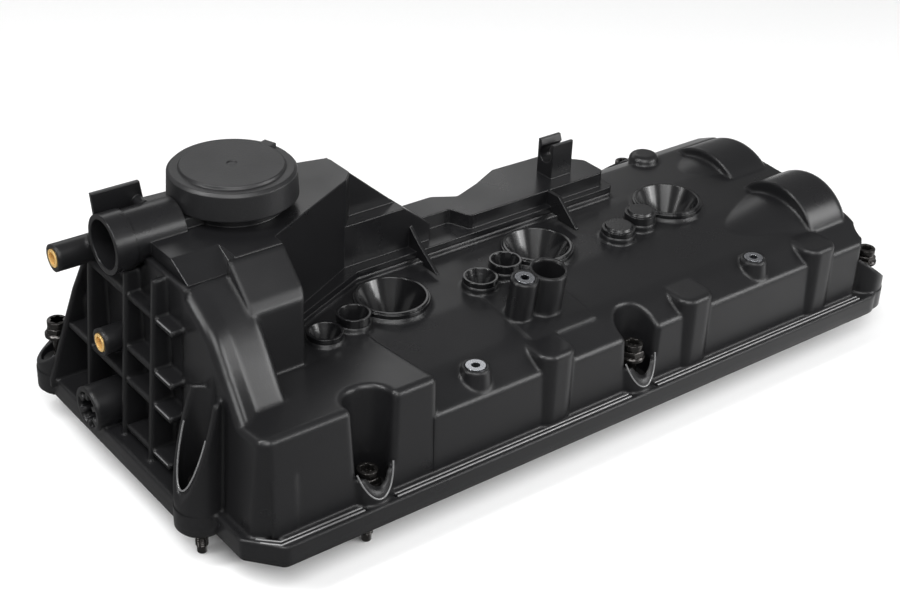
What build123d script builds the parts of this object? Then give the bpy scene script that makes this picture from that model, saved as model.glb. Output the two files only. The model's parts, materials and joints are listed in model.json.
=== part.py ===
from build123d import *
from math import hypot
import os

os.makedirs("parts", exist_ok=True)

# driving sizes, mm
pitch = 90.0            # cylinder spacing, sets the injector cones
cylinders = 3
wall = 3.0              # moulded wall of the cover
shell_wall = 2.6        # moulded wall of the separator shell
seat_z = 1.2            # underside of the flange, the gasket stands below it
flange_z = 11.5         # top of the flange
front_y = -73.5         # foot of the front wall
rear_y = 94.0           # foot of the rear wall
right_x = 262.0         # foot of the right end wall
left_x = -113.0         # root of the ribbed left end wall
column_x = -121.0       # foot of the smooth corner column
block_z = 61.5          # top of the raised front left block
tower_z = 110.5         # flat top of the separator tower
channel_z = 71.5        # top of the separator channel
weld_z = 60.2           # plane in which the separator shell is welded on
cap_x = -62.5           # axis of the pressure regulator
cap_y = 38.0
cap_r = 30.0
cap_z = 116.0           # lower edge of the cap skirt
cap_seat = 120.0        # top of the round neck under the cap
cap_lid = 126.6         # underside of the cap's top
cap_top = 130.4
neck_r = cap_r - 3.2    # collar of the neck, inside the cap's skirt
chamber_r = cap_r - 8.4  # regulator chamber in the neck
stem_r = 8.0            # bore below the regulator plate
spring_r = 11.8
tab_turn = 20.0         # place of the small raised tab on the cap's edge
pipe_z = 108.4          # axis of the hose pipe
pipe_r = 13.0
pipe_bore = 11.4
pipe_end = -128.0       # mouth of the hose pipe
skin = 0.06             # gap where two loose pieces lie face to face
low = -12.0             # profiles run down to here and are cut at the seat


# bolt sockets: round wells round the bolt heads, their rims cut off on a slant
well_r = 9.2            # bore of a well at its foot
well_wide = 11.4        # the front wells widen to this at the deck
well_wall = 2.2
well_rim = 14.3         # lowest point of the slanted rim
well_mouth = 24.8       # the front wells open through the wall above here

# injector seals and small seals, given from each injector axis
cone_r = 18.5
cone_z = 60.0
cone_hole = cone_r - 3.1
lip_r = 7.2             # bore of the seal lip that grips the injector
seal_a = (-27.8, -8.4)
seal_b = (-45.6, -11.6)
seal_a_r = 8.2
seal_b_r = 8.6
seal_hole = 6.4

insert_r = 4.7          # steel inserts in the deck bosses
insert_bore = 2.1

# cover bolts
bolt_r = 3.0
bolt_len = 31.0
bolt_head = 8.8
head_r = 4.9
collar_r = 6.4
head_seat = 15.2        # underside of a bolt head when the bolt is home
sleeve_r = 4.4
sleeve_bore = 3.25
grommet_r = 6.6
boss_z = 13.4
raised = 9.7
# name, x, y, how far the bolt stands up, way the rim falls off, slope of the rim
bolts = [
    ("front_left", -124.6, -31.8, 0.0, 180, 3.4),
    ("front_block", -60.2, -66.5, 0.0, -90, 2.5),
    ("front_mid", 97.2, -66.5, raised, -90, 2.5),
    ("front_right", 268.5, -66.5, raised, 0, 0.8),
    ("rear_left", -124.6, 102.5, raised + 3, 150, 0.8),
    ("rear_block", 8.0, 100.0, raised, 90, 0.8),
    ("rear_mid", 136.0, 100.0, raised, 90, 0.8),
    ("rear_right", 244.0, 100.0, 0.0, 90, 0.8),
]
front_wells = [(x, y) for name, x, y, up, turn, slope in bolts if turn == -90]


def inset(pts, t):
    """Move every side of a closed outline inwards by t; corner radii follow."""
    if t == 0:
        return pts
    n = len(pts)
    area = sum(pts[i][0] * pts[(i + 1) % n][1] - pts[(i + 1) % n][0] * pts[i][1] for i in range(n))
    s = 1.0 if area > 0 else -1.0
    lines = []
    for i in range(n):
        ax, ay = pts[i][0], pts[i][1]
        bx, by = pts[(i + 1) % n][0], pts[(i + 1) % n][1]
        d = hypot(bx - ax, by - ay)
        ux, uy = (bx - ax) / d, (by - ay) / d
        lines.append((ax - uy * s * t, ay + ux * s * t, ux, uy))
    out = []
    for i in range(n):
        px, py, pu, pv = lines[i - 1]
        qx, qy, qu, qv = lines[i]
        det = pu * qv - pv * qu
        k = ((qx - px) * qv - (qy - py) * qu) / det
        r = pts[i][2]
        if r:
            r = max(0.0, r - t) if det * s > 0 else r + t
        out.append((px + k * pu, py + k * pv, r))
    return out


def outline(pts):
    """Flat face from a closed outline of (a, b, corner radius)."""
    n = len(pts)
    ends = []
    for i in range(n):
        ax, ay, _ = pts[i - 1]
        bx, by, r = pts[i]
        cx, cy, _ = pts[(i + 1) % n]
        if r < 0.05:
            ends.append(((bx, by), None, (bx, by)))
            continue
        ux, uy = ax - bx, ay - by
        vx, vy = cx - bx, cy - by
        du, dv = hypot(ux, uy), hypot(vx, vy)
        ux, uy, vx, vy = ux / du, uy / du, vx / dv, vy / dv
        half = hypot(ux + vx, uy + vy) / 2
        sine = (max(1e-9, 1 - half * half)) ** 0.5
        run = r * half / sine
        far = r / sine
        mx, my = (ux + vx) / (2 * half), (uy + vy) / (2 * half)
        ends.append(((bx + ux * run, by + uy * run),
                     (bx + mx * (far - r), by + my * (far - r)),
                     (bx + vx * run, by + vy * run)))
    edges = []
    for i in range(n):
        start, mid, stop = ends[i]
        if mid:
            edges.append(Edge.make_three_point_arc(start, mid, stop))
        nxt = ends[(i + 1) % n][0]
        if hypot(nxt[0] - stop[0], nxt[1] - stop[1]) > 1e-6:
            edges.append(Edge.make_line(stop, nxt))
    return Face(Wire(edges))


def along_x(pts, x0, x1, t=0.0):
    """Outline in (y, z) pulled along X."""
    face = outline(inset(pts, t))
    plane = Plane(origin=(x0 + t, 0, 0), x_dir=(0, 1, 0), z_dir=(1, 0, 0))
    return extrude(plane * face, amount=x1 - x0 - 2 * t)


def along_y(pts, y0, y1, t=0.0):
    """Outline in (x, z) pulled along Y."""
    face = outline(inset(pts, t))
    plane = Plane(origin=(0, y1 - t, 0), x_dir=(1, 0, 0), z_dir=(0, -1, 0))
    return extrude(plane * face, amount=y1 - y0 - 2 * t)


def along_z(pts, z0, z1, t=0.0):
    """Outline in (x, y) pulled along Z."""
    face = outline(inset(pts, t))
    return extrude(Plane.XY.offset(z0) * face, amount=z1 - z0)


def block(x0, x1, y0, y1, z0, z1):
    return Pos((x0 + x1) / 2, (y0 + y1) / 2, (z0 + z1) / 2) * Box(x1 - x0, y1 - y0, z1 - z0)


def post(x, y, z0, z1, r, r_top=None):
    if r_top is None:
        return Pos(x, y, (z0 + z1) / 2) * Cylinder(r, z1 - z0)
    return Pos(x, y, (z0 + z1) / 2) * Cone(r, r_top, z1 - z0)


def ring(x, y, z0, z1, r_out, r_in):
    return post(x, y, z0, z1, r_out) - post(x, y, z0 - 1, z1 + 1, r_in)


def bar_x(x0, x1, y, z, r):
    return Pos((x0 + x1) / 2, y, z) * Rot(0, 90, 0) * Cylinder(r, x1 - x0)


# cover shell
def deck_profile():
    """Section across the camshaft space: wall foot, slope, gentle top, rear slope."""
    return [
        (front_y, low, 0), (rear_y, low, 0), (rear_y - 2, 16, 6), (60, 50, 14), (46, 56.5, 8),
        (15, 56.9, 30), (-20, 55, 60), (-56, 50.5, 26), (-72, 41.5, 3.6),
    ]


def lean_left(top):
    """Left faces of the corner column, leaning in as they rise."""
    return [(column_x, low, 0), (right_x, low, 0), (right_x, top, 0), (-114.5, top, 0), (-115.6, 70, 0)]


rim_line = [(-62.0, 60.5), (-54.0, 67.5), (-46.5, 74.0), (-40.5, 81.0), (-35.2, 88.5), (-29.5, 92.6),
            (-23.0, 95.4), (-14.0, 99.2), (-5.0, 103.2)]
face_line = [(-47.0, 59.5), (-42.0, 67.0), (-36.5, 75.5), (-30.5, 84.0), (-25.5, 90.0), (-20.5, 94.0),
             (-13.0, 99.0), (-5.0, 104.2)]


def under_line(points, x, foot):
    """Face in the plane at x, below a smooth line of (y, z) and down to the foot."""
    first, last = points[0], points[-1]
    edges = [Edge.make_spline(points), Edge.make_line(last, (last[0], foot)),
             Edge.make_line((last[0], foot), (first[0], foot)), Edge.make_line((first[0], foot), first)]
    return Plane(origin=(x, 0, 0), x_dir=(0, 1, 0), z_dir=(1, 0, 0)) * Face(Wire(edges))


def tower_front(t):
    """Wedge that climbs from the front block to the tower, with a shoulder at its right."""
    if t == 0:
        wedge = loft([under_line(rim_line, -124, low), under_line(face_line, -104, low)], ruled=True)
        wedge += extrude(under_line(face_line, -104, low), amount=16, dir=(1, 0, 0))
        wedge &= along_y(lean_left(120), -90, 60)
        edges = [e for e in wedge.edges() if (e @ 0.5).Z > 62 and e.length > 14
                 and ((e @ 0.5).X < -113 or (e @ 0.5).X > -89) and abs((e @ 0).X - (e @ 1).X) < 4
                 and (e @ 0.5).Y < -8]
        wedge = fillet(edges, 3.6)
        step = [(-24.5, low, 0), (-5.0, low, 0), (-5.0, 109.8, 0), (-6.5, 109.8, 1.2), (-21.2, 95.6, 3.5),
                (-24.5, 91.0, 3)]
        shoulder = along_x(step, -92, -64)
        shoulder &= along_z([(-92, -26, 0), (-64, -26, 5), (-64, -4, 0), (-92, -4, 0)], low, 120)
        return (wedge + shoulder) & block(-130, 0, -80, -6, low, 120)
    rim = [(-5, low, 0), (-5, 101.6, 0), (-23.5, 94.4, 0), (-34, 88.0, 0), (-40.5, 79, 0),
           (-61, 59, 0), (-61, low, 0)]
    face = [(-5, low, 0), (-5, 103.0, 0), (-20, 93.2, 0), (-24.5, 89.5, 0), (-30, 82.5, 0),
            (-47, 58, 0), (-47, low, 0)]
    a = Plane(origin=(-121, 0, 0), x_dir=(0, 1, 0), z_dir=(1, 0, 0)) * outline(inset(rim, t))
    b = Plane(origin=(-104, 0, 0), x_dir=(0, 1, 0), z_dir=(1, 0, 0)) * outline(inset(face, t))
    wedge = loft([a, b], ruled=True)
    wedge += along_x(inset(face, t), -106, -88 - t)
    step = [(-24.5, low, 0), (-5, low, 0), (-5, 106, 0), (-21.2, 94.6, 0), (-24.5, 90, 0)]
    wedge += along_x(inset(step, t), -96, -64 - t)
    wedge &= along_y(lean_left(120), -90, 60, t)
    return wedge + block(-111.3, -64 - t, -12, -5, 20, 95)


def front_well(x, y, t):
    """Well that opens to the front above its rim and widens towards the deck."""
    wide = well_wide + t
    foot = boss_z if t == 0 else low - 6
    shape = post(x, y, foot, well_mouth, well_r + t) + post(x, y, well_mouth, 62, well_r + t, wide)
    shape += post(x, y, 62, 90, wide)
    sill = well_mouth if t == 0 else foot
    mouth = [(x + well_r + t, sill, 0), (x + well_r + t, well_mouth + 0.1, 0), (x + wide, 62, 0),
             (x + wide, 90, 0), (x - wide, 90, 0), (x - wide, 62, 0),
             (x - well_r - t, well_mouth + 0.1, 0), (x - well_r - t, sill, 0)]
    return shape + along_y(mouth, y - 24, y)


def with_well(body, x, y, deck):
    """Cut a front well and round the edges of its mouth."""
    body = body - front_well(x, y, 0)
    edges = []
    for e in body.edges():
        m = e @ 0.5
        near = hypot(m.X - x, m.Y - y) < 14.5 and e.length > 1.0
        upright = abs((e @ 0).Z - (e @ 1).Z) > 15 and m.Y < front_y + 3.5
        if near and (upright or m.Z > deck):
            edges.append(e)
    return fillet(edges, 2.4)


def rounded_front(edge):
    """Top and corner edges of the front block that show."""
    m = edge @ 0.5
    if edge.length < 3 or m.Y > 15:
        return False
    top = m.Z > 50 and (m.X > -26 or m.Y < -66 or (m.X < -112 and m.Y < -30))
    upright = abs((edge @ 0).Z - (edge @ 1).Z) > 30 and m.Y < -60
    return top or upright


def cover_body(t):
    main = along_x(deck_profile(), left_x, right_x, t)
    main &= along_z([(left_x, front_y, 0), (right_x, front_y, 12), (right_x, rear_y, 12),
                     (left_x, rear_y, 6)], low, 90, t)
    front = along_x([(front_y, low, 0), (40, low, 0), (40, 57, 0), (-24, 57, 40),
                     (-70.8, block_z, 0)], column_x, -25.5, t)
    front &= along_z([(column_x, -64.0, 0), (-109.5, front_y, 0), (-25.5, front_y, 0), (-25.5, 40, 0),
                      (left_x, 40, 0), (left_x, -8, 0), (column_x, -8, 0)], low, 120, t)
    front &= along_y(lean_left(120), -90, 60, t)
    if t == 0:
        front = fillet([e for e in front.edges() if rounded_front(e)], 3.2)
        front = with_well(front, *front_wells[0], 56)
        main = with_well(main, *front_wells[1], 44) - block(-100, -28, -80, -45, low - 1, 60)
    body = main + front
    body += tower_front(t)
    # half round noses over the front rocker studs
    for i in range(cylinders):
        x = 44.2 + pitch * i
        nose = [(x - 10.3, -74.8, 7), (x + 10.3, -74.8, 7), (x + 10.3, -42, 0), (x - 10.3, -42, 0)]
        if t == 0:
            nose = along_z(nose, low, 50.2)
            nose = fillet([e for e in nose.edges() if (e @ 0.5).Z > 50 and (e @ 0.5).Y < -43], 2.4)
        else:
            nose = along_z(inset(nose, t), low, 50.2 - t)
        body += nose
    # domes over the camshaft ends, each with a shallow swell in front
    for y, r, z in ((-31.0, 29.0, 37.8), (23.0, 33.0, 31.4)):
        dome = bar_x(231 + t, right_x - t, y, z, r - t)
        if t == 0:
            dome = fillet([e for e in dome.edges() if (e @ 0.5).X > right_x - 1], 7.0)
        swell = Pos((188 + 232) / 2, y, 19.5) * Rot(0, 90, 0) * Cone(33.5 - t, 40 - t, 232 - 188)
        body += (dome & block(220, 270, -80, 60, 30, 90)) + (swell & block(180, 232, y - 32, y + 32, 40, 90))
    if t == 0:
        bump = post(206, 46, 38, 61, 9.0, 8.2)
        body += fillet([e for e in bump.edges() if (e @ 0.5).Z > 60], 3.5)
    # rear left chamber under the tower
    rear = [(0, low, 0), (rear_y, low, 0), (rear_y - 2, 30, 6), (82, 80, 5), (0, 80, 0)]
    rear = along_x(rear, left_x, -38, t)
    rear &= along_z([(left_x, -9, 0), (-64, -9, 0), (-64, 2, 0), (-38, 14.5, 0), (-38, 120, 0),
                     (left_x, 120, 0)], low, 90, t)
    return body + rear


def flange(t=0.0, z0=seat_z, z1=flange_z):
    """Mounting flange with a lobe round every corner and rear bolt."""
    plan = [(-124, -64.5, 3), (-111, -80, 5), (266, -80, 8), (272, -74, 4), (272, 102, 6), (-133, 102, 8),
            (-133, -31, 0), (-124, -31, 0)]
    body = along_z(inset(plan, t), z0, z1)
    for x, y, r in lobes:
        body += post(x, y, z0, z1, r - t)
    return body


lobes = [(x, y, well_r + well_wall + 0.4) for name, x, y, up, turn, slope in bolts if y > 0 or abs(x) > 110]


def slanted(x, y, turn, slope, top):
    """Space under a plane that falls off outwards over a well; turn is the way it falls."""
    far = well_r + well_wall
    foot = low - 6
    side = [(-60, foot, 0), (far + (well_rim - foot) / slope, foot, 0), (far - (top - well_rim) / slope, top, 0),
            (-60, top, 0)]
    return Pos(x, y, 0) * Rot(0, 0, turn) * along_y(side, -60, 60)


def well_wall_body(x, y, turn, slope, top):
    return post(x, y, seat_z, top, well_r + well_wall) & slanted(x, y, turn, slope, top)


def separator_plan():
    return [(-111.5, -6, 0), (-64, -6, 0), (-64, 0.5, 2), (-7, 28.5, 4), (-1, 34.5, 3), (-1, 53, 4),
            (-40, 62, 4), (-111.5, 66, 4)]


def channel_plan():
    return [(-15, 37, 0), (62, 37, 2), (66.5, 25.5, 3), (157, 25.5, 4), (157, 42, 4), (141, 59, 4),
            (108, 60, 4), (91, 52, 4), (74, 46, 4), (62, 53, 4), (-15, 53, 0)]


def weld_plan():
    return [(-111.5, -6, 0), (-63, -6, 0), (-62, -2.6, 2), (-4.9, 21.7, 6), (160.5, 21.7, 3),
            (160.5, 44, 4), (143, 62.6, 4), (106, 63.6, 4), (91, 56, 4), (75, 50, 4), (64, 57, 4),
            (-40, 65.5, 4), (-111.5, 69.6, 4)]


def separator_body(t):
    """Welded upper shell: tall box, ramp, middle step and long channel."""
    z0 = weld_z if t == 0 else weld_z - 5
    tall = along_z(separator_plan(), z0, tower_z - t, t)
    slope = [(-6, 20, 0), (80, 20, 0), (80, tower_z, 0), (8, tower_z, 2), (-6, 103.6, 0)]
    upright = [(-6, 20, 0), (80, 20, 0), (80, tower_z, 0), (-6, tower_z, 1.2)]
    tall &= along_x(inset(slope, t), -140, -88 + t) + along_x(inset(upright, t), -88 + t, 20)
    ramp = [(-30, z0, 0), (43, z0, 0), (43, 72, 0), (-1.5, tower_z, 0), (-30, tower_z, 0)]
    if t:
        ramp = [(-28, z0, 0), (43 - t, z0, 0), (43 - t, 72 - t * 1.2, 0), (-1.5, tower_z - t * 1.35, 0),
                (-28, tower_z - t * 1.35, 0)]
    body = tall + along_y(ramp, 36 + t, 53.4 - t, 0)
    mid = [(-20, z0, 0), (43 - t, z0, 0), (43 - t, 73 - t * 1.3, 0), (27 - t * 0.5, 86 - t, 0),
           (-20, 86 - t, 0)]
    body += along_y(mid, 28 + t, 40, 0)
    body += along_z(channel_plan(), z0, channel_z - t, t)
    return body


keep = block(-400, 400, -300, 300, seat_z, 300)
outer = cover_body(0.0) & keep
inner = cover_body(wall)
sep_cut = separator_body(-skin) & block(-400, 400, -300, 300, weld_z, 300)
sep_out = separator_body(skin) & block(-400, 400, -300, 300, weld_z + skin, 300)
sep_in = separator_body(shell_wall)

side_wells = [(x, y, turn, slope) for name, x, y, up, turn, slope in bolts if turn != -90]
cuts = [post(x, y, boss_z, well_mouth + 4, well_r) for x, y in front_wells]
cuts += [post(x, y, boss_z, 90, well_r) for x, y, turn, slope in side_wells]
space = inner
for x, y in front_wells:
    space -= front_well(x, y, wall)
for x, y, turn, slope in side_wells:
    space -= post(x, y, low - 6, 90, well_r + wall)

cover = outer + flange()
for x, y, turn, slope in side_wells:
    cover += well_wall_body(x, y, turn, slope, 66 if slope > 1 else 40)
# groove that runs along the top of the flange, outside the wall
groove = flange(2.4, flange_z - 3.4, flange_z + 1) - flange(4.7, flange_z - 4, flange_z + 2)
groove = groove & (block(-118, 256, -90, -70, 0, 40) + block(262, 290, -52, 84, 0, 40))
cover -= groove
for x, y in front_wells:
    cover += well_wall_body(x, y, -90, 2.5, well_mouth) + block(x - 7.5, x + 7.5, y - 12, y, seat_z, flange_z)
for c in cuts:
    cover -= c
cover -= space

# ribbed left end: end wall, upright ribs and cross ribs
end_face = [(-9, 8, 0), (97, 8, 0), (95, 40, 6), (81, 72, 6), (78, 88, 6), (66, 103.8, 4), (-9, 103.8, 0)]
end_wall = along_x(end_face, -114.8, -111.6)


def rib_edge(z):
    return -128.0 + (z - 11.0) * 0.075


for y, top in ((5.0, 103.0), (30.0, 101.0), (64.0, 98.0)):
    plate = [(-112, 8, 0), (rib_edge(8), 8, 0), (rib_edge(top), top, 0), (-112, top, 0)]
    end_wall += along_y(plate, y - 1.2, y + 1.2)
for z, y1 in ((16.5, 30.0), (41.0, 88.0), (58.0, 31.0), (84.0, 78.0)):
    end_wall += block(rib_edge(z) + 0.8, -112, -9, y1, z - 1.1, z + 1.1)
web = [(-112, 8, 0), (-135.5, 8, 0), (-135.5, 12, 0), (-124.5, 44, 0), (-119.5, 58, 0), (-112, 74, 0)]
end_wall += along_y(web, 88, 90.2)
end_wall += bar_x(-129.0, -112, 47.0, 54.0, 6.6)
end_wall += bar_x(-137.5, -112, 70.5, 89.5, 6.6)
end_wall += bar_x(-136.0, -112, 51.0, 17.6, 11.2)
star = bar_x(-140, -124, 51.0, 17.6, 8.8)
for k in range(6):
    star -= Pos(-132, 51.0, 17.6) * Rot(60 * k, 0, 0) * Pos(0, 0, 7.2) * Box(20, 2.4, 3.6)
end_wall -= star
end_wall -= bar_x(-140, -118.0, 47.0, 54.0, 4.4)
end_wall -= bar_x(-140, -124.0, 70.5, 89.5, 4.4)
cover += end_wall
cover -= bar_x(-160, -100, cap_y, pipe_z, pipe_r + 1.0)

# deck: rim for the separator shell, injector bosses, small seal bosses, insert bosses
curb = along_z(weld_plan(), 52, weld_z) - along_z(weld_plan(), 50, 70, 4.6)
cover += curb & block(-111.6, 170, -6, 72, 50, 62)
cover -= sep_cut
cover -= along_z(inset(weld_plan(), -skin), weld_z, 63.6 + skin) & block(-111.6, 200, -5.9, 80, 50, 70)
cone_x = [pitch * i for i in range(cylinders)]
for x in cone_x:
    cover += post(x, 0, 38, 55.6, cone_r + 2.2, cone_r + 1.0)
    cover += post(x, 0, 55, 57.2, cone_r + 0.4)
    for (dx, dy), r, z in ((seal_a, seal_a_r, 59.6), (seal_b, seal_b_r, 59.0)):
        cover += post(x + dx, dy, 46, z, r + 0.3)
insert_posts = [(2.3, -62.0, 52.3), (182.3, -62.0, 52.3)]
for x, y, z in insert_posts:
    cover += post(x, y, 38, z, 8.6, 6.6)
cover += along_x(inset(deck_profile(), -0.8), 39, 79) & block(39, 79, -58, -16, 46, 70)
lean = 7.0


def leaning(x, y, z0, z1, r):
    return Pos(x, y, 50.0) * Rot(lean, 0, 0) * Pos(0, 0, (z0 + z1) / 2) * Cylinder(r, z1 - z0)


tube_a = (46.0, -39.0)
tube_b = (60.6, -39.0)
cover += leaning(*tube_a, -6, 24.6, 6.7)
cover += leaning(*tube_b, -6, 25.2, 9.2)

for x in cone_x:
    cover -= post(x, 0, 20, 70, cone_hole)
    for dx, dy in (seal_a, seal_b):
        cover -= post(x + dx, dy, 30, 70, seal_hole)
for x, y, z in insert_posts:
    cover -= post(x, y, z - 10, z + 2, insert_r + 0.05)
cover -= leaning(*tube_a, 14.6, 30, insert_r + 0.05)
cover -= leaning(*tube_b, 5, 30, 8.0)

# holes for the rubber grommets under the bolt heads
for name, x, y, up, turn, slope in bolts:
    cover += post(x, y, seat_z, boss_z, well_r + 0.1)
    cover -= post(x, y, -5, 40, grommet_r)

# gasket groove in the underside
gasket_groove = flange(1.0, -3, seat_z + 2.4) - flange(3.6, -4, 20)
cover -= gasket_groove
# breather windows in the deck below the separator shell
cover -= block(-52, -22, 38, 50, 40, 59)
cover -= block(100, 128, 34, 52, 40, 59)
cover = cover & keep

# separator shell
shell = sep_out - sep_in
shell += (along_z(weld_plan(), weld_z + skin, 63.6) - sep_in) & block(-111.5, 200, -5.9, 80, 50, 70)
shell += post(cap_x, cap_y, tower_z - 3, cap_seat, neck_r - 2.8)
shell += post(cap_x, cap_y, cap_seat - 3, cap_seat, neck_r)
shell += bar_x(pipe_end + 1, cap_x - cap_r - 0.6, cap_y, pipe_z, pipe_r)
duct = stem_r + shell_wall
shell += block(cap_x - cap_r - 2, cap_x - 20, cap_y - duct, cap_y + duct, tower_z - 1, cap_z - 0.6)
shell += bar_x(pipe_end, pipe_end + 10, cap_y, pipe_z, pipe_r + 0.8)
shell += block(cap_x - cap_r - 5.5, cap_x + duct, cap_y - duct, cap_y + duct, 94, tower_z)
shell -= post(cap_x, cap_y, tower_z + 0.4, 125, chamber_r)
shell += post(cap_x, cap_y, 104, 114.0, stem_r + 1.8)
shell -= block(cap_x - cap_r - 3.5, cap_x + stem_r, cap_y - stem_r, cap_y + stem_r, 96.4, 108)
shell -= post(cap_x, cap_y, 100, 116, stem_r)
gusset = [(28.5, weld_z + 0.2, 0), (28.5, 75, 0), (20.5, 68.5, 0), (5.0, 58.4, 0), (16.2, 58.4, 0),
          (16.2, weld_z + 0.2, 0)]
shell += along_x(gusset, 30.4, 32.2)
gusset = [(26.0, weld_z + 0.2, 0), (26.0, channel_z - 0.3, 0), (17.0, channel_z - 0.3, 0), (2.0, 59.2, 0),
          (2.0, 58.4, 0), (16.2, 58.4, 0), (16.2, weld_z + 0.2, 0)]
shell += along_x(gusset, 117.2, 119.0)
clip = block(127, 140.5, 34.4, 46, channel_z - 1, 90.6) - bar_x(120, 150, 40.2, 83.5, 4.5)
slit = [(37.4, 83, 0), (43.0, 83, 0), (43.0, 87, 0), (45.0, 92, 0), (35.4, 92, 0), (37.4, 87, 0)]
clip -= along_x(slit, 120, 150)
shell += clip
tab = along_y([(-124.6, 112, 0), (-99.6, 109, 0), (-102.4, 127, 0), (-126, 127, 0)], 50.4, 52.4)
shell += tab
shell += block(-108, -100, 49, 53.5, 109, 116)
shell += Pos(-104, 47.5, 117.5) * Rot(90, 0, 0) * Cylinder(3.0, 7)
shell -= bar_x(pipe_end - 1, cap_x - cap_r - 2, cap_y, pipe_z, pipe_bore)

# baffle plate that closes the separator shell from below
plate = separator_body(shell_wall + 0.1) & block(-400, 400, -300, 300, weld_z + 0.1, weld_z + 2.1)
for k in range(7):
    plate -= post(-12 + 22 * k, 44, 50, 70, 2.6)
for k in range(4):
    plate -= post(-96 + 16 * k, 20, 50, 70, 2.6)

# regulator: cap, diaphragm, plate and spring
cap = post(cap_x, cap_y, cap_z, cap_lid + 1, cap_r, cap_r - 0.6)
cap += post(cap_x, cap_y, cap_lid + 1, cap_top - 1.4, cap_r - 0.6, cap_r - 2.0)
cap += post(cap_x, cap_y, cap_top - 1.4, cap_top, cap_r - 5.6, cap_r - 6.4)
cap -= post(cap_x, cap_y, cap_z - 1, cap_seat + 2.3, neck_r + 0.2)
cap -= post(cap_x, cap_y, cap_seat + 2, cap_lid, neck_r - 3.4)
cap -= post(cap_x, cap_y, cap_top - 0.4, cap_top + 1, 2.4)
cap += Pos(cap_x, cap_y, cap_top - 1.2) * Rot(0, 0, tab_turn) * Pos(cap_r - 4.2, 0, 0) * Box(4.4, 6.5, 2.4)
diaphragm = ring(cap_x, cap_y, cap_seat + 0.1, cap_seat + 2.2, neck_r - 0.2, neck_r - 3.2)
diaphragm += post(cap_x, cap_y, cap_seat + 0.5, cap_seat + 1.6, neck_r - 2.8)
plunger = post(cap_x, cap_y, cap_seat - 1.6, cap_seat + 0.4, spring_r + 1.2)
plunger += post(cap_x, cap_y, cap_seat - 6.6, cap_seat - 1.4, 5.0)
turns = 3.0
spring_low, spring_high = tower_z + 1.2, cap_seat - 2.4
path = Wire(Edge.make_helix((spring_high - spring_low) / turns, spring_high - spring_low, spring_r))
section = Plane(origin=(spring_r, 0, 0), x_dir=(1, 0, 0), z_dir=(0, 1, 0)) * Rectangle(1.2, 1.2)
spring = Pos(cap_x, cap_y, spring_low) * sweep(section, path, is_frenet=True)

parts = {
    "cover_shell": cover,
    "separator_shell": shell,
    "baffle_plate": plate,
    "regulator_cap": cap,
    "regulator_diaphragm": diaphragm,
    "regulator_plate": plunger,
    "regulator_spring": spring,
}

gasket = flange(1.05, 0, seat_z + 2.3) - flange(3.55, -2, 20)
parts["perimeter_gasket"] = gasket

for i, x in enumerate(cone_x):
    seal = post(x, 0, 57.25, cone_z - 0.8, cone_r) + post(x, 0, cone_z - 0.8, cone_z, cone_r - 0.9)
    seal += post(x, 0, 40, 57.5, cone_hole - 0.05)
    seal += post(x, 0, 28, 40.5, lip_r + 2.2)
    seal -= post(x, 0, 45, cone_z + 0.1, lip_r + 1.2, cone_r - 2.2)
    seal -= post(x, 0, 36, 46, lip_r + 1.2)
    seal -= post(x, 0, 27, 37, lip_r)
    parts["injector_seal_%d" % (i + 1)] = seal
    for tag, (dx, dy), r, z, top in (("a", seal_a, seal_a_r, 59.6, 63.8),
                                     ("b", seal_b, seal_b_r, 59.0, 61.6)):
        cup = post(x + dx, dy, z + 0.05, top, r) + post(x + dx, dy, 47, z + 0.2, seal_hole - 0.05)
        if i < 2:
            cup -= post(x + dx, dy, 53, top + 0.1, 3.0, r - 1.2)
            parts["small_seal_%d%s" % (i + 1, tag)] = cup
        else:
            cup += post(x + dx, dy, top - 0.1, top + 1.4, r - 1.2, r - 2.0)
            parts["blank_plug_%s" % tag] = cup

for k, (x, y, z) in enumerate(insert_posts):
    parts["steel_insert_%d" % (k + 1)] = ring(x, y, z - 9.8, z + 0.4, insert_r, insert_bore)
tube_insert = leaning(*tube_a, 14.8, 25.0, insert_r) - leaning(*tube_a, 10, 30, insert_bore)
parts["steel_insert_3"] = tube_insert
parts["brass_insert_mid"] = bar_x(-129.4, -118.2, 47.0, 54.0, 4.35) - bar_x(-140, -110, 47.0, 54.0, 3.0)
parts["brass_insert_upper"] = bar_x(-137.9, -124.2, 70.5, 89.5, 4.35) - bar_x(-150, -110, 70.5, 89.5, 3.0)

for name, x, y, up, turn, slope in bolts:
    z = head_seat + up
    tip = z - bolt_len
    bolt = post(x, y, tip + 4.5, z + 0.4, bolt_r) + post(x, y, tip + 4, tip + 4.5, bolt_r - 0.6, bolt_r)
    bolt += post(x, y, tip + 0.6, tip + 4, bolt_r - 0.6)
    bolt += post(x, y, tip, tip + 0.6, bolt_r - 1.1, bolt_r - 0.6)
    bolt += post(x, y, z, z + 2.0, collar_r) + post(x, y, z + 2.0, z + 2.6, collar_r, collar_r - 0.8)
    bolt += Pos(x, y, z + 2.5) * extrude(RegularPolygon(collar_r - 0.6, 6), amount=2.6)
    bolt += post(x, y, z + 5, z + bolt_head - 0.5, head_r)
    bolt += post(x, y, z + bolt_head - 0.5, z + bolt_head, head_r, head_r - 0.5)
    bolt -= Pos(x, y, z + bolt_head - 3.5) * extrude(RegularPolygon(3.0, 6), amount=4)
    parts["bolt_" + name] = bolt
    parts["sleeve_" + name] = ring(x, y, seat_z + 0.2, head_seat - 0.2, sleeve_r, sleeve_bore)
    rubber = ring(x, y, 3.0, boss_z + 0.2, grommet_r - 0.05, sleeve_r + 0.05)
    rubber += ring(x, y, boss_z + 0.05, head_seat - 0.5, grommet_r + 1.4, sleeve_r + 0.05)
    parts["grommet_" + name] = rubber

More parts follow.
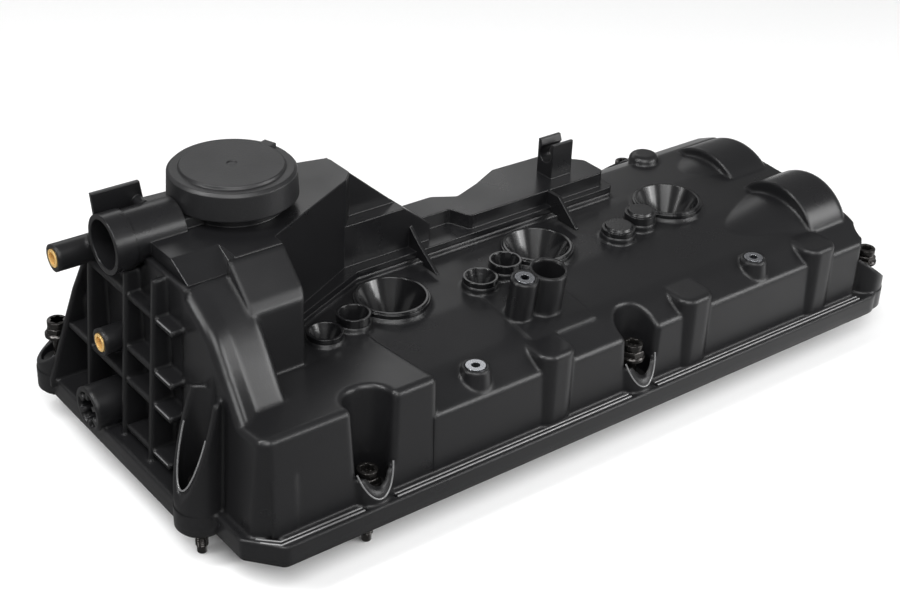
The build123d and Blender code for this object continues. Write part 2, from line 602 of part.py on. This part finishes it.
for name, shape in parts.items():
    solids = shape.solids()
    if len(solids) > 1:
        print(name, "pieces", [round(s.volume) for s in solids])
    shape.label = name
    export_step(shape, "parts/%s.step" % name)
print(len(parts), "parts")
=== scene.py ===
# %% [markdown]
# An engine valve cover
#
# This lesson dresses a moulded engine valve cover. The solid parts come ready made, in
# metres, with the first injector's axis at the origin. Here they get a camera, light, a
# floor, the small trim that a mould leaves behind, detailed bolts, and materials that look
# like satin glass-filled nylon, rubber, brass and zinc-plated steel.

# %% Load the solid parts
import bpy
import bmesh
import json
from math import atan2, cos, pi, radians, sin
from mathutils import Matrix, Vector


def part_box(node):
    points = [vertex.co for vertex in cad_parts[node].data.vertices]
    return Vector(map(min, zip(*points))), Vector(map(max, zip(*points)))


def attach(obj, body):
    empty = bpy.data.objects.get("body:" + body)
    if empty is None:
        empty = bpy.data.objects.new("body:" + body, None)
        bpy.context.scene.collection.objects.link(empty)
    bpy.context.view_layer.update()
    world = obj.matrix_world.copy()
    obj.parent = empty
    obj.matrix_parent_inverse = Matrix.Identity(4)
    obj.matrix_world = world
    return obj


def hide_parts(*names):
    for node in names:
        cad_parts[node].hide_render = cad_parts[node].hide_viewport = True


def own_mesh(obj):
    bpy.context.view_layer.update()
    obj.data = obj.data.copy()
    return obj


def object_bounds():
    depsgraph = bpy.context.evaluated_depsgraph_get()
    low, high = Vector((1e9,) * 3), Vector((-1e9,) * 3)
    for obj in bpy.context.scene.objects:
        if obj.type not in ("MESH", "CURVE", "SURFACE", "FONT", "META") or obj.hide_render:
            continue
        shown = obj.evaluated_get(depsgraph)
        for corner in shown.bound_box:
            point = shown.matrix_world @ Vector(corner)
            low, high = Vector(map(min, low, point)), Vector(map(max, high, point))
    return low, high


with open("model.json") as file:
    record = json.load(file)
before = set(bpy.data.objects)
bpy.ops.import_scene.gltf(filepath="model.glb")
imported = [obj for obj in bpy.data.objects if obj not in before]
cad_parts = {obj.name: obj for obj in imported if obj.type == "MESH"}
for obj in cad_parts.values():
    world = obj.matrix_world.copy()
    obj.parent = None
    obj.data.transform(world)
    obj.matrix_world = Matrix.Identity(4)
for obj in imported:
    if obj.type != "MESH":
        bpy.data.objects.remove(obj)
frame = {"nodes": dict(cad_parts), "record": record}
cad_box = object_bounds()
nodes = frame["nodes"]
mm = 0.001
print(len(nodes), "solid parts")

# %% [markdown]
# Camera
#
# The picture was taken from the front left and about thirty degrees above the cover, with
# a longer lens. A camera's matrix holds its right, up and backward directions as columns,
# so those three are worked out from the turn, the height angle and a small roll.

# %% Place the camera
turn, height, roll = radians(-38.6), radians(30.71), radians(2.43)
camera_place = (-0.4077, -0.5550, 0.4670)
lens_length = 67.5
farthest_seen = 20

right = Vector((cos(turn), sin(turn), 0))
back = Vector((sin(turn) * cos(height), -cos(turn) * cos(height), sin(height)))
up = back.cross(right)
right_rolled = cos(roll) * right + sin(roll) * up
up_rolled = cos(roll) * up - sin(roll) * right
camera_data = bpy.data.cameras.new("camera")
camera_data.lens = lens_length
camera_data.clip_end = farthest_seen
camera = bpy.data.objects.new("camera", camera_data)
facing = Matrix((right_rolled, up_rolled, back)).transposed().to_4x4()
camera.matrix_world = Matrix.Translation(camera_place) @ facing
bpy.context.scene.collection.objects.link(camera)
bpy.context.scene.camera = camera
print("camera", tuple(round(v, 3) for v in camera.matrix_world.translation))

# %% [markdown]
# Floor
#
# Three of the cover's bolts are pushed home and stick out below the gasket, so the cover
# stands on their tips and the floor lies just under them. It is hidden from mirrored rays,
# as a cut-out picture shows none of it in the dark faces.

# %% Lay the floor
floor_reach = 4.0
floor_gap = 0.2 * mm
floor_height = cad_box[0][2] - floor_gap
mesh = bpy.data.meshes.new("floor")
bm = bmesh.new()
bmesh.ops.create_grid(bm, x_segments=1, y_segments=1, size=floor_reach)
bmesh.ops.translate(bm, verts=bm.verts, vec=(0, 0, floor_height))
bm.to_mesh(mesh)
bm.free()
floor = bpy.data.objects.new("floor", mesh)
bpy.context.scene.collection.objects.link(floor)
floor.visible_glossy = False
print("floor at", round(floor_height / mm, 2), "mm")

# %% [markdown]
# Light
#
# A studio picture of a black part is lit by white panels: they are what the plastic
# mirrors, so their size and place set how soft the shine on each edge is. Black plastic
# shows almost nothing but mirrored light, so each panel is placed for one set of edges. A
# narrow one at the left draws the rim of the tower, a long low one at the right draws the
# front edges, a small one beside it streaks the seal cones, a wide one behind gives the
# deck its sheen, and a large one beside the camera only keeps the floor white.

# %% Hang the light panels
lit_point = Vector((0.07, 0.0, 0.05))


def panel(name, place, width, depth, watts):
    """A rectangular soft light that faces the middle of the cover."""
    data = bpy.data.lights.new(name, "AREA")
    data.shape = "RECTANGLE"
    data.size = width
    data.size_y = depth
    data.energy = watts
    light = bpy.data.objects.new(name, data)
    aim = (lit_point - Vector(place)).to_track_quat("-Z", "Y")
    light.matrix_world = Matrix.Translation(place) @ aim.to_matrix().to_4x4()
    bpy.context.scene.collection.objects.link(light)
    return light


panels = [panel("left_box", (-0.62, 0.14, 0.90), width=0.16, depth=0.9, watts=8),
          panel("right_strip", (0.80, -0.90, 0.58), width=1.0, depth=0.40, watts=9.5),
          panel("low_strip", (0.80, -1.05, 0.30), width=0.12, depth=0.4, watts=1.5),
          panel("front_box", (-0.50, -0.95, 1.35), width=1.2, depth=1.2, watts=25),
          panel("rear_box", (0.30, 1.50, 0.98), width=2.2, depth=0.60, watts=5)]
print(len(panels), "panels")

# %% [markdown]
# Room
#
# The room around the cover is an even white, a little brighter below and to the right.
# The front wall mirrors that part of it, so its far end comes out lighter than its near
# end, as in the picture. Two ramps follow the direction in which a ray leaves, one
# sideways and one downwards, and their product sets the room's strength.


# %% Brighten one side of the room
def ramp(tree, source, start, end, low=0.0, high=1.0):
    """Turn a value that runs from start to end into one that runs from low to high."""
    node = tree.nodes.new("ShaderNodeMapRange")
    node.inputs["From Min"].default_value = start
    node.inputs["From Max"].default_value = end
    node.inputs["To Min"].default_value = low
    node.inputs["To Max"].default_value = high
    tree.links.new(source, node.inputs["Value"])
    return node.outputs["Result"]


room_strength, bright_strength = 0.22, 1.1
rightward = (0.42, 0.74)
downward = (0.0, -0.15)
world = bpy.data.worlds.new("studio")
world.use_nodes = True
room = world.node_tree
backdrop = room.nodes["Background"]
look = room.nodes.new("ShaderNodeTexCoord")
split = room.nodes.new("ShaderNodeSeparateXYZ")
room.links.new(look.outputs["Generated"], split.inputs["Vector"])
both = room.nodes.new("ShaderNodeMath")
both.operation = "MULTIPLY"
room.links.new(ramp(room, split.outputs["X"], *rightward), both.inputs[0])
room.links.new(ramp(room, split.outputs["Z"], *downward), both.inputs[1])
glow = ramp(room, both.outputs["Value"], 0.0, 1.0, room_strength, bright_strength)
room.links.new(glow, backdrop.inputs["Strength"])
backdrop.inputs["Color"].default_value = (1, 1, 1, 1)
bpy.context.scene.world = world
bpy.context.scene.view_settings.view_transform = "Standard"
print("room strength", room_strength, "to", bright_strength)

# %% [markdown]
# Materials
#
# A moulded surface is never one even tone. Its shine wanders where the mould was polished
# unevenly, it carries a fine grain, and each edge is a little rounded so that it catches a
# line of light. One function builds all three for every finish here: a broad noise for the
# shine, a fine noise for the grain, and a bevel on the normal for the edges.

# %% Write the moulded finish
noise_low, noise_high = 0.3, 0.7
broad_detail, fine_detail = 5.0, 2.0
grain_height = 0.2 * mm
edge_samples = 8


def finish(name, colour, rough, metal=0.0, grain=1400.0, depth=0.12, spread=0.06,
           edge=0.7 * mm, patch=22.0, tint=0.25, gloss=0.5):
    """A shader with uneven shine, fine grain and softly rounded edges."""
    made = bpy.data.materials.new(name)
    made.use_nodes = True
    tree = made.node_tree
    shader = tree.nodes["Principled BSDF"]
    place = tree.nodes.new("ShaderNodeTexCoord")
    broad = tree.nodes.new("ShaderNodeTexNoise")
    broad.inputs["Scale"].default_value = patch
    broad.inputs["Detail"].default_value = broad_detail
    fine = tree.nodes.new("ShaderNodeTexNoise")
    fine.inputs["Scale"].default_value = grain
    fine.inputs["Detail"].default_value = fine_detail
    tree.links.new(place.outputs["Object"], broad.inputs["Vector"])
    tree.links.new(place.outputs["Object"], fine.inputs["Vector"])
    shine = ramp(tree, broad.outputs["Fac"], noise_low, noise_high, rough - spread, rough + spread)
    tree.links.new(shine, shader.inputs["Roughness"])
    tone = tree.nodes.new("ShaderNodeMix")
    tone.data_type = "RGBA"
    tone.inputs["A"].default_value = tuple(c * (1 - tint) for c in colour) + (1,)
    tone.inputs["B"].default_value = tuple(min(1, c * (1 + tint)) for c in colour) + (1,)
    tree.links.new(fine.outputs["Fac"], tone.inputs["Factor"])
    tree.links.new(tone.outputs["Result"], shader.inputs["Base Color"])
    rounded = tree.nodes.new("ShaderNodeBevel")
    rounded.samples = edge_samples
    rounded.inputs["Radius"].default_value = edge
    bump = tree.nodes.new("ShaderNodeBump")
    bump.inputs["Strength"].default_value = depth
    bump.inputs["Distance"].default_value = grain_height
    tree.links.new(fine.outputs["Fac"], bump.inputs["Height"])
    tree.links.new(rounded.outputs["Normal"], bump.inputs["Normal"])
    tree.links.new(bump.outputs["Normal"], shader.inputs["Normal"])
    shader.inputs["Metallic"].default_value = metal
    shader.inputs["Specular IOR Level"].default_value = gloss
    return made


# %% [markdown]
# The cover is satin nylon with wide soft edges. The welded separator shell is crisper, the
# round cap duller and coarser, the plugs and seals smoother. The edge finish is far lighter
# than the nylon: its colour is a painted highlight, standing for trim so thin that only its
# mirrored light is seen.

# %% Mix the plastics and rubbers
nylon = finish("satin_black_nylon", (0.0085, 0.0085, 0.0092), 0.32,
               grain=1500, depth=0.16, edge=3.2 * mm, gloss=0.40)
nylon_smooth = finish("welded_shell_nylon", (0.0075, 0.0075, 0.0082), 0.31,
                      grain=1700, depth=0.10, edge=0.9 * mm, gloss=0.42)
cap_nylon = finish("cap_nylon", (0.010, 0.010, 0.0108), 0.43,
                   grain=1100, depth=0.25, edge=0.9 * mm, gloss=0.45)
plug_nylon = finish("plug_nylon", (0.007, 0.007, 0.0075), 0.28,
                    grain=1600, depth=0.08, edge=0.6 * mm)
seal_rubber = finish("seal_rubber", (0.005, 0.005, 0.0055), 0.19,
                     grain=900, depth=0.03, edge=0.6 * mm, gloss=0.6)
flange_rubber = finish("gasket_rubber", (0.009, 0.009, 0.009), 0.55,
                       grain=1200, depth=0.15, edge=0.4 * mm, gloss=0.35)
# Its light grey colour is a painted highlight for the thin beads along the edges.
painted_highlight_nylon = finish("painted_highlight_edge_nylon", (0.13, 0.13, 0.132), 0.20,
                    grain=1500, depth=0.05, edge=0.2 * mm, gloss=1.0)
print("seven plastics and rubbers")

# %% [markdown]
# The metals are the zinc-plated inserts and sleeves, the turned brass inserts and the
# bolts, whose black oxide lets a little warm steel through. Brass is only half metallic
# here, because a full metal would go black between the few panels that it mirrors.

# %% Mix the metals and the floor's paper
zinc = finish("zinc_plated_steel", (0.50, 0.51, 0.54), 0.26, metal=1.0,
              grain=2600, depth=0.10, spread=0.08, edge=0.2 * mm)
brass = finish("turned_brass", (0.80, 0.52, 0.19), 0.28, metal=0.45,
               grain=2200, depth=0.08, spread=0.08, edge=0.2 * mm)
black_oxide = finish("black_oxide_steel", (0.055, 0.052, 0.050), 0.24, metal=0.9,
                     grain=1800, depth=0.08, spread=0.08, edge=0.3 * mm, tint=0.4)
paper = finish("pale_floor", (0.93, 0.93, 0.93), 0.75,
               grain=300, depth=0.01, edge=0.1 * mm, patch=2.0, tint=0.01)
floor.data.materials.append(paper)
print("three metals and paper")

# %% [markdown]
# Each solid part names the material slot that it belongs to, so one small table from slot
# to finish dresses all of them. The separator shell shares the cover's slot but was
# moulded apart, and gets its own finish.

# %% Dress the solid parts
finishes = {
    "cover_plastic": nylon,
    "cap_plastic": cap_nylon,
    "plate_plastic": plug_nylon,
    "plug_plastic": plug_nylon,
    "seal_rubber": seal_rubber,
    "gasket_rubber": flange_rubber,
    "grommet_rubber": flange_rubber,
    "diaphragm_rubber": flange_rubber,
    "spring_steel": zinc,
    "insert_steel": zinc,
    "sleeve_steel": zinc,
    "insert_brass": brass,
    "bolt_steel": black_oxide,
}
for part in frame["record"]["subparts"]:
    wanted = finishes[part["material_slot"]]
    if part["node"] == "separator_shell":
        wanted = nylon_smooth
    holder = nodes[part["node"]]
    holder.data.materials.clear()
    holder.data.materials.append(wanted)
print(len(finishes), "slots dressed")

# %% [markdown]
# Moulded edges
#
# A groove runs along the front of the flange, and its two lips are the brightest lines on
# the cover: a mould leaves them small. Each is a bead about a millimetre across, in the
# lighter edge finish, whose colour is a painted highlight. It could be a bevelled strip, but
# a curve with a round section follows corners with no extra work, and it becomes a plain
# mesh as soon as it is made.

# %% A helper that lays a bead along a line
bead_roundness = 3


def bead(name, points, radius):
    """A round bead through points given in millimetres, turned into a mesh."""
    curve = bpy.data.curves.new(name + "_line", "CURVE")
    curve.dimensions = "3D"
    curve.bevel_depth = radius * mm
    curve.bevel_resolution = bead_roundness
    curve.use_fill_caps = True
    line = curve.splines.new("POLY")
    line.points.add(len(points) - 1)
    for point, spot in zip(line.points, points):
        point.co = tuple(c * mm for c in spot) + (1,)
    holder = bpy.data.objects.new(name + "_line", curve)
    made = bpy.data.meshes.new_from_object(holder)
    bpy.data.objects.remove(holder)
    bpy.data.curves.remove(curve)
    made.name = name
    made.shade_smooth()
    made.materials.clear()
    # The lighter edge finish paints the bead's highlight into its colour.
    made.materials.append(painted_highlight_nylon)
    piece = bpy.data.objects.new(name, made)
    bpy.context.scene.collection.objects.link(piece)
    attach(piece, "cover")


# %% Lay the two lips of the flange groove
flange_top = 11.5
outer_lip, outer_lip_radius = -77.5, 0.55
inner_lip, inner_lip_radius = -75.3, 0.5
outer_corner = [(-118.2, -70.6, flange_top), (-111.6, -77.2, flange_top)]
inner_corner = [(-118.4, -67.6, flange_top), (-110.6, -75.1, flange_top)]
# Between the bolt wells the lips run in three stretches, and the first bends at the corner.
stretches = [(-118.0, -69.0), (-51.4, 88.4), (106.0, 255.0)]
for number, (start, end) in enumerate(stretches, 1):
    outer = [(start, outer_lip, flange_top), (end, outer_lip, flange_top)]
    inner = [(start, inner_lip, flange_top), (end, inner_lip, flange_top)]
    if number == 1:
        outer = outer_corner + outer[1:]
        inner = inner_corner + inner[1:]
    bead("flange_lip_outer_%d" % number, outer, outer_lip_radius)
    bead("flange_lip_inner_%d" % number, inner, inner_lip_radius)
print(2 * len(stretches), "lips")

# %% [markdown]
# The two bolt wells in the front wall and the one in the corner column are cut off on a
# slant, which leaves a thin edge in the shape of a U. It is laid as a bead, and its
# brightness is partly the bead's own rounding and partly a painted highlight in its lighter
# colour. The edge is where a slanted plane meets a round wall, so its height follows from
# the angle round the well. On the front wall the bright edge is the wall's outer one, on the
# corner column the inner one.
# Each well stands round its bolt, so its axis is read from the solid bolt's box.


# %% Lay the rims of the bolt wells
def bolt_axis(name):
    """Where a bolt's axis stands, along and across the cover, in millimetres."""
    lowest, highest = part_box(name)
    return (lowest[0] + highest[0]) / 2 / mm, (lowest[1] + highest[1]) / 2 / mm


well_bore = 9.2
well_outside = 11.4
rim_low = 14.3
rim_bead = 0.45
rim_steps = 12
# Name, the way it is turned, radius of the bright edge, slope of the cut, half its arc.
wells = [("front_block", -90, well_outside, 2.5, 58),
         ("front_mid", -90, well_outside, 2.5, 58),
         ("front_left", 180, well_bore, 3.4, 84)]
for name, turned, edge_radius, slope, half_arc in wells:
    centre_x, centre_y = bolt_axis("bolt_" + name)
    way = radians(turned)
    rim = []
    for step in range(-rim_steps, rim_steps + 1):
        around = radians(half_arc * step / rim_steps)
        outward = edge_radius * cos(around)
        aside = edge_radius * sin(around)
        rim.append((centre_x + outward * cos(way) - aside * sin(way),
                    centre_y + outward * sin(way) + aside * cos(way),
                    rim_low + (well_outside - outward) * slope))
    bead("well_rim_" + name, rim, rim_bead)
print(len(wells), "rims")

# %% [markdown]
# The ribs beside the corner column end in thin edges, laid as beads in the lighter edge
# finish whose colour is a painted highlight. They show as four short bright strokes one
# above the other. The end wall leans, so each stroke lies a little further in than the one
# below.

# %% Lay the rib edges
rib_heights = (16.5, 41.0, 58.0, 84.0)
rib_front, rib_back = -8.0, 4.0
rib_half = 1.0
rib_bead = 0.4
wall_foot, foot_height, wall_lean = -128.0, 11.0, 0.075
edge_inset = 0.9
for number, rib_height in enumerate(rib_heights, 1):
    face = wall_foot + (rib_height - foot_height) * wall_lean + edge_inset
    rib_top = rib_height + rib_half
    bead("rib_edge_%d" % number, [(face, rib_front, rib_top), (face, rib_back, rib_top)], rib_bead)
print(len(rib_heights), "rib edges")

# %% [markdown]
# Bolts
#
# The solid bolts are plain. A real one has a rolled thread, a flange under its hexagon and
# a star-shaped recess in its round top. All of it is a stack of loops of the same number
# of points, bridged one to the next: a round loop, a hexagonal one and a star differ only
# in how far each point lies from the axis, so one small function gives every loop.


# %% Three outlines for the loops
def circle(angle):
    """Every point lies at the full radius, whatever its angle."""
    return 1.0


def hexagon(angle):
    """The six corners lie at the full radius."""
    return cos(pi / 6) / cos(angle % (pi / 3) - pi / 6)


def star(angle):
    """Six rounded lobes reach past the radius."""
    lobe = 0.14
    return 1.0 + lobe * cos(6 * angle)


print("star from", round(star(pi / 6), 2), "to", round(star(0), 2), "of its radius")

# %% [markdown]
# The bolt's outline is written as steps from its tip and from its seat, each a radius, a
# height and the outline there. The thread is a stack of level rings. A true helix would
# need a run-in and a run-out at its ends; rings need neither, and at this size the two
# look alike.

# %% Write down the bolt's outline in millimetres
points_around = 48
shank_length, shank_start, shank = 31.0, 22.8, 2.9
pilot = 2.4
thread_start, thread_turns, pitch = 4.4, 18, 1.0
thread_outside, thread_root = 2.98, 2.62
flange_rim, corner, crown, recess = 6.4, 5.8, 4.9, 2.95
head_height = 8.8
tip_steps = [(1.9, 0.0, circle), (pilot, 0.6, circle), (pilot, 4.0, circle)]
thread_steps = [(thread_outside, 0.0, circle), (thread_outside, 0.14, circle),
                (thread_root, 0.5, circle), (thread_root, 0.62, circle)]
head_steps = [(shank, 0.0, circle), (6.1, 0.0, circle), (flange_rim, 0.3, circle),
              (flange_rim, 1.7, circle), (5.75, 2.4, circle),
              (5.75, 2.5, hexagon), (corner, 2.7, hexagon), (corner, 4.7, hexagon),
              (5.5, 5.1, hexagon),
              (4.7, 5.15, circle), (crown, 5.5, circle), (crown, 8.3, circle),
              (4.75, 8.65, circle), (4.4, head_height, circle),
              (3.15, head_height, star), (recess, 8.5, star), (recess, 5.6, star)]
print("bolt", shank_length + head_height, "mm long")

# %% A helper that stacks the loops into a bolt
sharp_from = radians(38)


def flange_bolt(name, centre_x, centre_y, tip):
    """A flange bolt on a given axis, with its tip at a given height in millimetres."""
    loops = [(radius, tip + rise, outline) for radius, rise, outline in tip_steps]
    for turn_number in range(thread_turns):
        foot = tip + thread_start + turn_number * pitch
        loops += [(radius, foot + rise, outline) for radius, rise, outline in thread_steps]
    loops.append((shank, tip + shank_start, circle))
    seat = tip + shank_length
    loops += [(radius, seat + rise, outline) for radius, rise, outline in head_steps]
    bm = bmesh.new()
    last = None
    for radius, level, outline in loops:
        made = bmesh.ops.create_circle(bm, cap_ends=last is None, segments=points_around,
                                       radius=radius)
        for vert in made["verts"]:
            reach = outline(atan2(vert.co.y, vert.co.x) % (2 * pi))
            vert.co = Vector((vert.co.x * reach, vert.co.y * reach, level))
        ring = set(made["verts"])
        edges = [e for e in bm.edges if e.verts[0] in ring and e.verts[1] in ring]
        if last:
            bmesh.ops.bridge_loops(bm, edges=last + edges)
        last = edges
    bmesh.ops.edgeloop_fill(bm, edges=last)
    bmesh.ops.translate(bm, verts=bm.verts, vec=(centre_x, centre_y, 0))
    bmesh.ops.scale(bm, verts=bm.verts, vec=(mm, mm, mm))
    bmesh.ops.recalc_face_normals(bm, faces=bm.faces)
    bolt_mesh = bpy.data.meshes.new("flange_" + name)
    bm.to_mesh(bolt_mesh)
    bm.free()
    bolt_mesh.shade_smooth()
    bolt_mesh.set_sharp_from_angle(angle=sharp_from)
    bolt_mesh.materials.append(black_oxide)
    piece = bpy.data.objects.new("flange_" + name, bolt_mesh)
    bpy.context.scene.collection.objects.link(piece)
    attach(piece, name)
    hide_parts(name)


# %% [markdown]
# Each detailed bolt takes the place of a solid one. It reads its axis and its tip from the
# solid's box, so it stands where the solid stood, and it slides with the same body.

# %% Put a bolt in the place of each solid one
bolt_names = [n for n in sorted(nodes) if n.startswith("bolt_")]
for name in bolt_names:
    centre_x, centre_y = bolt_axis(name)
    lowest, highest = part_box(name)
    flange_bolt(name, centre_x, centre_y, lowest[2] / mm)
print(len(bolt_names), "bolts")

# %% [markdown]
# Regulator spring
#
# Under the round cap a small coil spring holds the regulator's plate up. When the plate
# sinks, the coil is pressed shorter. The solid coil is copied, its loose triangles are
# merged, and the copy rides with the cover in place of the solid one.

# %% Copy the spring
merge_distance = 0.005 * mm
merged = bmesh.new()
merged.from_mesh(nodes["regulator_spring"].data)
bmesh.ops.remove_doubles(merged, verts=merged.verts, dist=merge_distance)
coil_mesh = bpy.data.meshes.new("regulator_coil")
merged.to_mesh(coil_mesh)
merged.free()
coil_mesh.materials.append(zinc)
coil = bpy.data.objects.new("regulator_coil", coil_mesh)
bpy.context.scene.collection.objects.link(coil)
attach(coil, "cover")
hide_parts("regulator_spring")
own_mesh(coil)
